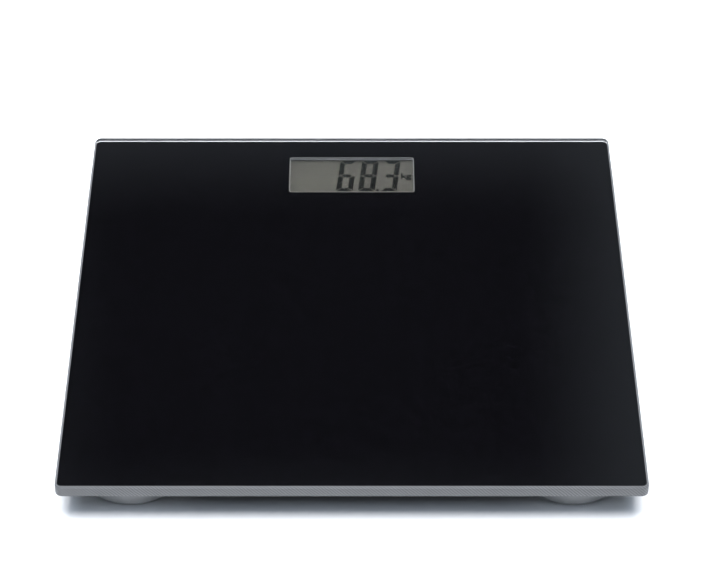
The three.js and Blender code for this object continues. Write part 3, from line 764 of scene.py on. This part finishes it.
def segment_outlines():
    """The seven bars of a digit as upright outlines, from its lower left corner."""
    w, h, t, g = DIGIT_WIDTH, DIGIT_HEIGHT, SEGMENT_WIDTH, SEGMENT_GAP
    m, half = h / 2, t / 2
    level = {
        "top": [(g + 0.3, h), (w - g - 0.3, h), (w - t - g * 0.4, h - t), (t + g * 0.4, h - t)],
        "middle": [(half + g, m), (t + g, m + half), (w - t - g, m + half),
                   (w - half - g, m), (w - t - g, m - half), (t + g, m - half)],
    }
    level["bottom"] = [(x, h - y) for x, y in level["top"]]
    left = [(0, m + g + 0.4), (half * 0.8, m + g), (t, m + half + g), (t, h - t - g), (0, h - g - 0.6)]
    upright = {"upper_left": left, "lower_left": [(x, h - y) for x, y in left]}
    upright["upper_right"] = [(w - x, y) for x, y in upright["upper_left"]]
    upright["lower_right"] = [(w - x, y) for x, y in upright["lower_left"]]
    return {**level, **upright}


DIGITS = {
    6: ("top", "upper_left", "middle", "lower_left", "lower_right", "bottom"),
    8: ("top", "upper_left", "upper_right", "middle", "lower_left", "lower_right", "bottom"),
    3: ("top", "upper_right", "middle", "lower_right", "bottom"),
}


def flat_pieces(name, outlines, z0, z1):
    """Thin bodies, one per outline, in one mesh."""
    work = bmesh.new()
    for outline in outlines:
        low = [work.verts.new((x * MM, y * MM, z0 * MM)) for x, y in outline]
        high = [work.verts.new((x * MM, y * MM, z1 * MM)) for x, y in outline]
        work.faces.new(low)
        work.faces.new(high)
        for k in range(len(outline)):
            n = (k + 1) % len(outline)
            work.faces.new((low[k], low[n], high[n], high[k]))
    bmesh.ops.recalc_face_normals(work, faces=work.faces)
    mesh = bpy.data.meshes.new(name)
    work.to_mesh(mesh)
    work.free()
    return new_object(name, mesh)


def digits(z1):
    low, high = display_window()
    x0 = high.x - DIGITS_FROM_RIGHT
    y0 = low.y + DIGITS_FROM_FRONT
    bars = segment_outlines()
    outlines = []
    for place, digit in enumerate((3, 8, 6)):
        left = x0 - place * DIGIT_PITCH
        for bar in DIGITS[digit]:
            outlines.append([(left + x + y * math.tan(DIGIT_SLANT), y0 + y) for x, y in bars[bar]])
    point = rounded_rectangle(1.5, 1.8, 0.4, x0 - 1.3, y0 + 0.8, 3)
    outlines.append(point)
    return flat_pieces("display_digits", outlines, z1 - INK_THICKNESS, z1)


def unit_sign(z1):
    """The unit beside the digits."""
    low, high = display_window()
    text = bpy.data.curves.new("unit", "FONT")
    text.body = "kg"
    text.resolution_u = 6
    text.offset = 0.03
    text.extrude = 0.5
    holder = new_object("unit", text)
    bpy.context.view_layer.update()
    mesh = bpy.data.meshes.new_from_object(holder.evaluated_get(bpy.context.evaluated_depsgraph_get()))
    bpy.data.objects.remove(holder)
    left = min(v.co.x for v in mesh.vertices)
    wide = max(v.co.x for v in mesh.vertices) - left
    tall = max(v.co.y for v in mesh.vertices)
    for vertex in mesh.vertices:
        x, y, z = vertex.co
        place = (high.x - UNIT_FROM_RIGHT + (x - left) * UNIT_WIDTH / wide,
                 low.y + UNIT_FROM_FRONT + y * UNIT_ASCENT / tall,
                 z1 + (z - 0.5) * INK_THICKNESS)
        vertex.co = Vector(place) * MM
    return new_object("display_unit", mesh)


def display():
    film_low, film_high = box("display_polariser")
    piece = rounded_slab("display_front_film", plate_outline(film_low, film_high, 0.3),
                         film_low.z + 0.02, film_high.z, 0.03)
    finished(piece, "root", "display_film", ["display_polariser"], FILM)

    # a grey strip with the print edge's shadow painted in, behind the film
    painted_shade_strip(film_high)
    low, high = box("display_upper_glass")
    piece = rounded_slab("display_front_sheet", plate_outline(low, high, 0.3), low.z + 0.07, high.z, 0.12)
    finished(piece, "root", "display_glass", ["display_upper_glass"], SHEET_GLASS)
    ink_level = low.z + 0.055
    for made in (digits(ink_level), unit_sign(ink_level)):
        made.data.materials.clear()
        made.data.materials.append(LCD_INK)
        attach(made, "root")

    low, high = box("display_lower_glass")
    piece = rounded_slab("display_rear_sheet", plate_outline(low, high, 0.3), low.z, high.z - 0.01, 0.12)
    finished(piece, "root", "display_glass", ["display_lower_glass"], LAYER)

    low, high = box("display_reflector")
    piece = rounded_slab("display_back_film", plate_outline(low, high, 0.3), low.z, high.z - 0.01, 0.04)
    finished(piece, "root", "display_reflector", ["display_reflector"], REFLECTOR)


def painted_shade_strip(film):
    """Grey strip on the front sheet, behind the film's back edge: painted shade, in the colour of the shadow
    that the print's back edge casts on the display.
    """
    low, high = box("display_upper_glass")
    corner, far = Vector((low.x + 1, film.y + 0.1, 0)), Vector((high.x - 1, high.y - 0.5, 0))
    piece = rounded_slab("painted_shade_strip", plate_outline(corner, far, 0.3), high.z + 0.01, film.z - 0.02, 0.04)
    piece.data.materials.append(PAINTED_SHADE)
    level_shading(piece)
    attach(piece, "root")


def plate_outline(low, high, radius):
    middle = (low + high) / 2

    def outline(inset):
        size = (high.x - low.x - 2 * inset, high.y - low.y - 2 * inset)
        return rounded_rectangle(*size, max(radius - inset, 0.05), middle.x, middle.y, 4)

    return outline


# ---------------------------------------------------------------- feet


def foot_frame(name):
    """Centre of a foot and the direction in which its lead leaves."""
    middle = centre(f"foot_pad_{name}")
    towards = centre(f"strain_gauge_{name}") - middle
    return middle, math.atan2(towards.y, towards.x)


def half_width(node):
    low, high = box(node)
    return (high.x - low.x) / 2


def spoke(reach, width, z0, z1, middle, angle):
    """A block that runs out from a centre, from one radius to another, along an angle."""
    corners = [(reach[0], -width / 2), (reach[1], -width / 2), (reach[1], width / 2), (reach[0], width / 2)]
    c, s = math.cos(angle), math.sin(angle)
    outline = [(middle.x + a * c - b * s, middle.y + a * s + b * c) for a, b in corners]
    return loft("spoke", [lift(outline, z0), lift(outline, z1)])


def ring_radii(name):
    """Outer and inner radius of the housing's ring, from the cap that it fits."""
    outer = half_width(f"foot_cap_{name}") - CAP_WALL - RING_GAP
    return outer, outer - RING_WALL


def foot_cap(name):
    node = f"foot_cap_{name}"
    low, high = box(node)
    pad_top = box(f"foot_pad_{name}")[1].z
    middle, angle = foot_frame(name)
    radius = half_width(node)
    recess = half_width(f"foot_pad_{name}") + PAD_RECESS_GAP
    inner, floor, rim = radius - CAP_WALL, low.z + CAP_FLOOR, high.z
    ring_outer, ring_inner = ring_radii(name)
    bead = rim - SNAP_BELOW_RIM
    boss_top = box(f"load_cell_{name}")[0].z
    profile = soften([
        (0, pad_top), (recess, pad_top), (recess, low.z), (radius - CAP_EDGE, low.z),
        (radius, low.z + CAP_EDGE), (radius, rim), (inner, rim), (inner, bead + 1.2),
        (ring_outer + 0.35, bead + 0.8), (ring_outer + 0.35, bead), (inner, bead),
        (inner, floor), (BOSS_RADIUS, floor), (BOSS_RADIUS, boss_top), (0, boss_top),
    ], 0.35)
    piece = turned(f"foot_cup_{name}", profile, middle.x, middle.y)
    reach = (BOSS_RADIUS - 1, ring_inner - LIP_REACH / 2)
    ribs = [
        spoke(reach, RIB_THICKNESS, floor - 0.5, floor + RIB_HEIGHT, middle, angle + k * math.tau / RIBS)
        for k in range(RIBS)
    ]
    carve(piece, ribs, "UNION")
    finished(piece, f"{name}_foot", "grey_plastic", [node], GREY)


def foot_pad(name):
    node = f"foot_pad_{name}"
    low, high = box(node)
    middle, _ = foot_frame(name)
    radius = half_width(node)
    profile = [(0, low.z)]
    for groove in PAD_GROOVES:
        profile += [(groove - 0.5, low.z), (groove - 0.25, low.z + 0.35),
                    (groove + 0.25, low.z + 0.35), (groove + 0.5, low.z)]
    profile += [(radius, low.z), (radius, high.z - 0.01), (0, high.z - 0.01)]
    piece = turned(f"rubber_pad_{name}", soften(profile, 0.35), middle.x, middle.y)
    finished(piece, f"{name}_foot", "pad_rubber", [node], RUBBER)


def foot_housing(name):
    node = f"foot_housing_{name}"
    low, high = box(node)
    middle, angle = foot_frame(name)
    cell_low, cell_high = box(f"load_cell_{name}")
    outer, inner = ring_radii(name)
    flange = half_width(f"foot_tape_{name}") + 0.5
    pocket = (inner - LOAD_CELL_GAP - LOAD_CELL_RADIUS) / math.sqrt(2) + LOAD_CELL_RADIUS - SEAT_WIDTH
    lip, lip_top = inner - LIP_REACH, cell_low.z - CLEARANCE
    bead_top = box(f"foot_cap_{name}")[1].z - SNAP_BELOW_RIM - FOOT_DROP - CLEARANCE
    flange_bottom = high.z - FLANGE_THICKNESS
    profile = soften([
        (0, high.z - POCKET_SKIN), (pocket, high.z - POCKET_SKIN), (pocket, cell_high.z),
        (inner, cell_high.z), (inner, lip_top), (lip, lip_top), (lip, lip_top - 0.6),
        (inner, lip_top - 1.0), (inner, low.z), (outer, low.z), (outer + 0.5, low.z + 0.4),
        (outer + 0.5, bead_top), (outer, bead_top), (outer, flange_bottom), (flange, flange_bottom),
        (flange, high.z), (0, high.z),
    ], 0.3)
    piece = turned(f"foot_base_{name}", profile, middle.x, middle.y)
    slot = spoke((LEAD_SLOT_START, flange + PAST), LEAD_WIDTH + 4 * CLEARANCE, cell_high.z,
                 high.z + PAST, middle, angle)
    carve(piece, [slot])
    finished(piece, "root", "grey_plastic", [node], GREY)


def foot_tape(name):
    """Foam disc, a little drawn in at the middle of its side where it is pressed."""
    node = f"foot_tape_{name}"
    low, high = box(node)
    middle, _ = foot_frame(name)
    radius = half_width(node)
    mid = (low.z + high.z) / 2
    profile = [(0, low.z), (radius - 0.05, low.z), (radius, low.z + 0.12), (radius - 0.14, mid),
               (radius, high.z - 0.12), (radius - 0.05, high.z), (0, high.z)]
    piece = turned(f"foam_disc_{name}", profile, middle.x, middle.y, angle=80)
    finished(piece, "root", "foam_tape", [node], FOAM)


# ---------------------------------------------------------------- sensor leads


def rounded_route(points, bend=LEAD_BEND, steps=8):
    """Straight runs through the points, with each corner rounded."""
    out = [points[0]]
    for corner, after in zip(points[1:-1], points[2:]):
        before = out[-1]
        reach = min(bend, (corner - before).length / 2, (corner - after).length / 2)
        start = corner.lerp(before, reach / (corner - before).length)
        end = corner.lerp(after, reach / (corner - after).length)
        for k in range(steps + 1):
            t = k / steps
            out.append(start.lerp(corner, t).lerp(corner.lerp(end, t), t))
    out.append(points[-1])
    return out


def lead_route(name):
    """From the strain gauge, out through the housing's slot, along the glass and down onto the board."""
    towards_case = -math.copysign(1, centre(f"foot_pad_{name}").x)
    middle, angle = foot_frame(name)
    out = Vector((math.cos(angle), math.sin(angle), 0))
    run = box(f"sensor_lead_{name}")[1].z - LEAD_THICKNESS / 2
    gauge = box(f"load_cell_{name}")[1].z + CLEARANCE + LEAD_THICKNESS / 2
    reach = (centre(f"strain_gauge_{name}") - middle).to_2d().length + GAUGE_LENGTH / 2
    case_low, case_high = box("case_shell")
    board_high = box("circuit_board")[1]
    level = board_high.z + CLEARANCE + LEAD_THICKNESS / 2
    front = name.startswith("front")
    y = case_low.y + FRONT_LEAD_FROM_FRONT if front else case_high.y - BACK_LEAD_FROM_BACK
    turn = box("case_frame")[1].x + (FRONT_LEAD_TURN if front else 0)

    def at(distance, z):
        place = middle + out * distance
        return Vector((place.x, place.y, z))

    def beside(x, z):
        return Vector((-towards_case * x, y, z))

    return rounded_route([
        at(reach + CLEARANCE, gauge),
        at(reach + 3, gauge),
        at(ring_radii(name)[1], run),
        beside(turn, run),
        beside(case_high.x - CASE_WALL - LEAD_DROP, run),
        beside(board_high.x, level),
        beside(board_high.x - LEAD_ON_BOARD, level),
    ])


def core_rings(route, offset):
    """Rings round one core of a flat lead, that far to the side of the lead's middle."""
    rings = []
    for k, point in enumerate(route):
        along = (route[min(k + 1, len(route) - 1)] - route[max(k - 1, 0)]).normalized()
        side = Vector((along.y, -along.x, 0)).normalized()
        up = side.cross(along)
        ring = []
        for n in range(CORE_SIDES):
            turn = math.tau * n / CORE_SIDES
            place = point + side * (offset + CORE_RADIUS * math.cos(turn)) + up * CORE_RADIUS * math.sin(turn)
            ring.append(tuple(place))
        rings.append(ring)
    return rings


def sensor_lead(name):
    route = lead_route(name)
    spacing = (LEAD_WIDTH - LEAD_THICKNESS) / 2
    cores = [loft("core", core_rings(route, k * spacing), angle=60) for k in (-1, 0, 1)]
    for made, look in zip(cores, CORES):
        made.data.materials.append(look)
    piece = merged(f"three_core_lead_{name}", cores)
    level_shading(piece)
    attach(piece, "root")
    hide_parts(f"sensor_lead_{name}")


def merged(name, objects):
    """One piece from several, each with its own material."""
    work = bmesh.new()
    mesh = bpy.data.meshes.new(name)
    for index, made in enumerate(objects):
        start = len(work.faces)
        work.from_mesh(made.data)
        work.faces.ensure_lookup_table()
        for face in work.faces[start:]:
            face.material_index = index
        mesh.materials.append(made.data.materials[0])
    work.to_mesh(mesh)
    work.free()
    for made in objects:
        bpy.data.objects.remove(made)
    return new_object(name, mesh)


# ---------------------------------------------------------------- electronics case


def case_outline(grow, steps=CORNER_STEPS):
    low, high = box("case_shell")
    middle = (low + high) / 2
    return rounded_rectangle(high.x - low.x + 2 * grow, high.y - low.y + 2 * grow, CASE_RADIUS + grow,
                             middle.x, middle.y, steps)


def rod(radius, z0, z1, x, y, steps=48):
    outline = circle(radius, x, y, steps)
    return loft("rod", [lift(outline, z0), lift(outline, z1)])


def screw_places():
    return [centre(f"case_screw_{n}").to_2d() for n in range(1, 5)]


def post_places():
    low, high = box("circuit_board")
    return [(x, y) for x in (low.x + POST_INSET, high.x - POST_INSET)
            for y in (low.y + POST_FROM_END, high.y - POST_FROM_END)]


def case_shell():
    low, high = box("case_shell")
    board_bottom = box("circuit_board")[0].z
    inside = low.z + CASE_WALL
    turns = [math.pi / 2 * k / 5 for k in range(6)]
    edge = [(CASE_EDGE * (1 - math.sin(t)), CASE_EDGE * (1 - math.cos(t))) for t in turns]
    rings = [lift(case_outline(-inset), low.z + rise) for inset, rise in edge]
    rings += [lift(case_outline(0), high.z - 0.15), lift(case_outline(-0.15), high.z)]
    tray = loft("case_tray", rings)
    cavity = loft("cavity", [
        lift(case_outline(-CASE_WALL - 0.5), inside),
        lift(case_outline(-CASE_WALL - 0.15), inside + 0.15),
        lift(case_outline(-CASE_WALL), inside + 0.5),
        lift(case_outline(-CASE_WALL), high.z + PAST),
    ])
    carve(tray, [cavity])
    towers = [rod(TOWER_RADIUS, low.z + 1, low.z + TOWER_HEIGHT, x, y) for x, y in screw_places()]
    posts = [rod(POST_RADIUS, inside - 1, board_bottom, x, y) for x, y in post_places()]
    carve(tray, towers + posts, "UNION")
    carve(tray, case_openings(low, inside))
    bevel(tray, 0.15)
    finished(tray, "root", "grey_plastic", ["case_shell"], GREY)


def case_openings(low, inside):
    """Battery bay, the notch for the door's lip, the unit button's hole and the screws' holes."""
    door_low, door_high = box("battery_door")
    bay_x = (door_low.x + door_high.x) / 2
    bay = (door_high.x - door_low.x) / 2 - RAIL_REACH + CLEARANCE
    notch = bay + RAIL_REACH
    button = centre("unit_button")
    hole = half_width("unit_button") - BUTTON_FLANGE + CLEARANCE
    tools = [
        block("bay", bay_x - bay, bay_x + bay, low.y - PAST, door_high.y + CLEARANCE,
              low.z - PAST, inside + PAST),
        block("notch", bay_x - notch, bay_x + notch, low.y - PAST, low.y + CASE_WALL,
              inside, low.z + DOOR_LIP_HEIGHT + CLEARANCE),
        rod(hole, low.z - PAST, inside + PAST, button.x, button.y),
    ]
    for x, y in screw_places():
        tools.append(rod(SCREW_SHANK + 0.4, low.z - PAST, low.z + TOWER_HEIGHT + PAST, x, y))
        tools.append(rod(SCREW_HEAD_RADIUS + CLEARANCE, low.z - PAST, low.z + SCREW_SEAT, x, y))
    return tools


def case_frame():
    high = box("case_frame")[1]
    bottom = high.z - FRAME_THICKNESS
    plate = rounded_slab("case_bezel", lambda inset: case_outline(FRAME_FLANGE - inset), bottom, high.z, 0.35)
    tower_top = box("case_shell")[0].z + TOWER_HEIGHT
    bosses = [rod(TOWER_RADIUS - 0.2, tower_top + CLEARANCE, bottom + 0.5, x, y) for x, y in screw_places()]
    carve(plate, bosses, "UNION")
    glass_low, glass_high = box("display_upper_glass")
    edge = box("circuit_board")[1].x - 0.5
    half = LEAD_WIDTH / 2 + 2 * CLEARANCE
    tools = [block("opening", glass_low.x - CLEARANCE, glass_high.x + CLEARANCE, glass_low.y - CLEARANCE,
                   glass_high.y + CLEARANCE, bottom - PAST, high.z + PAST)]
    for name in FEET:
        end = lead_route(name)[-1]
        ends = sorted(math.copysign(x, end.x) for x in (edge, 2 * edge))
        tools.append(block("channel", *ends, end.y - half, end.y + half, bottom - PAST, high.z + PAST))
    tools += [rod(SCREW_SHANK + 0.2, tower_top - PAST, high.z - POCKET_SKIN, x, y) for x, y in screw_places()]
    carve(plate, tools)
    bevel(plate, 0.12)
    finished(plate, "root", "grey_plastic", ["case_frame"], GREY)


def case_tape():
    low, high = box("case_tape")
    outer = FRAME_FLANGE - 0.5
    piece = rounded_slab("foam_gasket", lambda inset: case_outline(outer - inset), low.z, high.z, 0.1,
                         lambda inset: case_outline(outer - TAPE_WIDTH + inset))
    finished(piece, "root", "foam_tape", ["case_tape"], FOAM)


def case_screw(number):
    """Self-tapping screw with a pan head and a cross recess. Its head points down."""
    node = f"case_screw_{number}"
    low, high = box(node)
    middle = centre(node)
    seat = low.z + SCREW_HEAD_HEIGHT
    profile = [(0, low.z), (SCREW_HEAD_RADIUS * 0.6, low.z), (SCREW_HEAD_RADIUS * 0.88, low.z + 0.3),
               (SCREW_HEAD_RADIUS, low.z + 0.8), (SCREW_HEAD_RADIUS, seat), (SCREW_SHANK, seat)]
    z = seat + 0.6
    while z < high.z - 2 * THREAD_PITCH:
        profile += [(SCREW_SHANK * 0.75, z), (SCREW_SHANK, z + THREAD_PITCH / 2)]
        z += THREAD_PITCH
    profile += [(SCREW_SHANK * 0.7, z), (0.15, high.z), (0, high.z)]
    piece = turned(f"case_fixing_{number}", profile, middle.x, middle.y, 48)
    long, wide, depth = SCREW_HEAD_RADIUS * 0.6, 0.3, low.z + 0.7
    cross = [
        block("bar", middle.x - a, middle.x + a, middle.y - b, middle.y + b, low.z - PAST, depth)
        for a, b in ((long, wide), (wide, long))
    ]
    carve(piece, cross)
    finished(piece, "root", "steel", [node], STEEL)


# ---------------------------------------------------------------- small round pieces


def unit_button():
    low, high = box("unit_button")
    middle = centre("unit_button")
    flange = half_width("unit_button")
    radius = flange - BUTTON_FLANGE
    stem = half_width("switch_plunger")
    flange_bottom = low.z + 1.7
    profile = soften([
        (0, low.z + 0.25), (radius * 0.5, low.z + 0.18), (radius - 0.5, low.z), (radius, low.z + 0.4),
        (radius, flange_bottom), (flange, flange_bottom), (flange, flange_bottom + 0.6),
        (stem, flange_bottom + 0.6), (stem, high.z), (0, high.z),
    ], 0.2)
    piece = turned("unit_key", profile, middle.x, middle.y, 64)
    finished(piece, "unit_button", "grey_plastic", ["unit_button"], GREY)


def coin_cell():
    low, high = box("coin_cell")
    middle = centre("coin_cell")
    radius = half_width("coin_cell")
    profile = soften([
        (0, low.z + 0.06), (radius * 0.72, low.z + 0.06), (radius * 0.78, low.z), (radius, low.z),
        (radius, high.z - 0.35), (radius - 0.9, high.z - 0.35), (radius - 1.0, high.z - 0.55),
        (radius - 1.35, high.z - 0.55), (radius - 1.55, high.z), (0, high.z),
    ], 0.3)
    piece = turned("button_battery", profile, middle.x, middle.y)
    finished(piece, "root", "steel", ["coin_cell"], STEEL)


def controller_chip():
    """Drop of epoxy over the controller, on the underside of the board."""
    low, high = box("controller_chip")
    middle = centre("controller_chip")
    radius, height = half_width("controller_chip"), high.z - low.z
    turns = [math.pi / 2 * k / 10 for k in range(11)]
    profile = [(radius * math.sin(t), high.z - height * math.cos(t)) for t in turns] + [(0, high.z)]
    piece = turned("epoxy_drop", profile, middle.x, middle.y, 64)
    finished(piece, "root", "chip_epoxy", ["controller_chip"], EPOXY)


def switch_plunger():
    low, high = box("switch_plunger")
    middle = centre("switch_plunger")
    radius = half_width("switch_plunger")
    profile = soften([(0, low.z), (radius, low.z), (radius, high.z), (0, high.z)], 0.3)
    piece = turned("switch_pin", profile, middle.x, middle.y, 48)
    finished(piece, "unit_button", "dark_plastic", ["switch_plunger"], DARK)


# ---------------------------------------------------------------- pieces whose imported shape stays


def dress(node, material, edge):
    """Keeps a CAD node's shape, with soft edges and a finish of its own."""
    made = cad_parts[node]
    for slot in made.material_slots:
        slot.material = material
    flat = made.modifiers.new("flat_faces", "DECIMATE")
    flat.decimate_type = "DISSOLVE"
    flat.angle_limit = math.radians(1)
    bevel(made, edge)


def dress_kept_nodes():
    for name in FEET:
        dress(f"load_cell_{name}", STEEL, 0.15)
        dress(f"strain_gauge_{name}", SILICONE, 0.35)
        dress(f"lead_cover_{name}", DARK, 0.12)
    dress("battery_door", GREY, 0.12)
    dress("cell_holder", DARK, 0.15)
    dress("battery_positive_clip", BRASS, 0.05)
    dress("battery_negative_spring", BRASS, 0.04)
    dress("circuit_board", MASK, 0.08)
    dress("unit_switch", DARK, 0.2)
    dress("display_carrier", DARK, 0.15)
    dress("display_connector", STRIPES, 0.2)


# ---------------------------------------------------------------- scene

studio()
platform()
printed_backing()
window_rim()
display()
for foot in FEET:
    foot_cap(foot)
    foot_pad(foot)
    foot_housing(foot)
    foot_tape(foot)
    sensor_lead(foot)
case_shell()
case_frame()
case_tape()
for number in range(1, 5):
    case_screw(number)
unit_button()
coin_cell()
controller_chip()
switch_plunger()
dress_kept_nodes()
